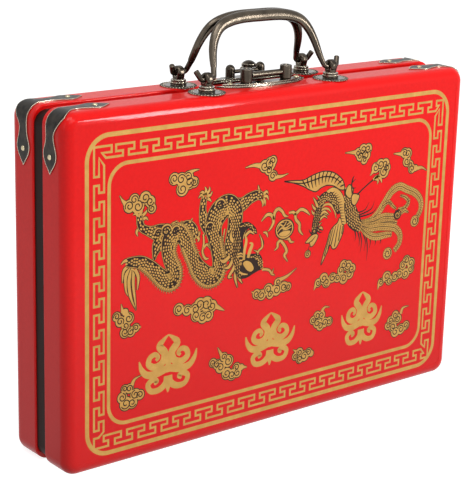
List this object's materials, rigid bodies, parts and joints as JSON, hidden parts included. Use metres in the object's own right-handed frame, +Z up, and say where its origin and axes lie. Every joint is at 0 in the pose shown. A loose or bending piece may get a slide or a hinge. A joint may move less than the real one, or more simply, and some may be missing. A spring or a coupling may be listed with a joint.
{
  "type": "mahjong case",
  "caption": "Flat standing game case of two covered trays hinged at the base, with bail handles leaning together over a hasp latch and strapped top corners.",
  "frame": {"origin": "centre of the base of the closed, standing case", "axes": "+X along the case, to the right as its front is seen; +Y to its back; +Z up to the handles"},
  "size_m": [0.374, 0.068, 0.3059],
  "materials": {
    "red_covered_board": "red leatherette glued over board, semi-gloss",
    "black_lacquer": "satin black lacquer",
    "flock_lining": "short black flock",
    "blackened_strap_metal": "blackened, worn bright at its edges",
    "antique_bronze": "antique bronze, worn bright where hands touch",
    "pale_brass": "pale brass, slightly dulled"
  },
  "bodies": {
    "rear_half": {"rear_frame": "red_covered_board", "rear_panel": "red_covered_board", "rear_lining": "flock_lining", "closing_rail": "black_lacquer", "dice_divider": "flock_lining", "rear_left_strap": "blackened_strap_metal", "rear_right_strap": "blackened_strap_metal", "rear_strap_nails": "pale_brass", "rear_left_rosette": "antique_bronze", "rear_right_rosette": "antique_bronze", "rear_left_eye_post": "antique_bronze", "rear_right_eye_post": "antique_bronze", "latch_rear_plate": "antique_bronze", "latch_rear_nails": "pale_brass", "catch_left_ball_post": "antique_bronze", "catch_right_ball_post": "antique_bronze", "catch_bar": "antique_bronze", "left_hinge_rear_leaf": "antique_bronze", "right_hinge_rear_leaf": "antique_bronze", "hinge_rear_nails": "antique_bronze", "left_hinge_pin": "antique_bronze", "right_hinge_pin": "antique_bronze"},
    "front_half": {"front_frame": "red_covered_board", "front_panel": "red_covered_board", "front_lining": "flock_lining", "front_left_strap": "blackened_strap_metal", "front_right_strap": "blackened_strap_metal", "front_strap_nails": "pale_brass", "front_left_rosette": "antique_bronze", "front_right_rosette": "antique_bronze", "front_left_eye_post": "antique_bronze", "front_right_eye_post": "antique_bronze", "latch_front_plate": "antique_bronze", "latch_front_nails": "pale_brass", "hasp_left_barrel": "antique_bronze", "hasp_right_barrel": "antique_bronze", "hasp_pin": "antique_bronze", "left_hinge_front_leaf": "antique_bronze", "right_hinge_front_leaf": "antique_bronze", "hinge_front_nails": "antique_bronze"},
    "front_handle": {"front_handle": "antique_bronze"},
    "rear_handle": {"rear_handle": "antique_bronze"},
    "hasp": {"hasp": "antique_bronze", "hasp_knob": "antique_bronze"}
  },
  "joints": [
    {"name": "lid_hinge", "type": "hinge", "parent": "rear_half", "child": "front_half", "pos_m": [0, -0.0006, 0.0024], "axis": [1, 0, 0], "range_deg": [0, 130]},
    {"name": "front_handle_swing", "type": "hinge", "parent": "front_half", "child": "front_handle", "pos_m": [0, -0.0172, 0.2625], "axis": [1, 0, 0], "range_deg": [0, 125]},
    {"name": "rear_handle_swing", "type": "hinge", "parent": "rear_half", "child": "rear_handle", "pos_m": [0, 0.016, 0.2625], "axis": [-1, 0, 0], "range_deg": [0, 125]},
    {"name": "hasp_swing", "type": "hinge", "parent": "front_half", "child": "hasp", "pos_m": [0, -0.012, 0.2609], "axis": [1, 0, 0], "range_deg": [0, 105]}
  ]
}
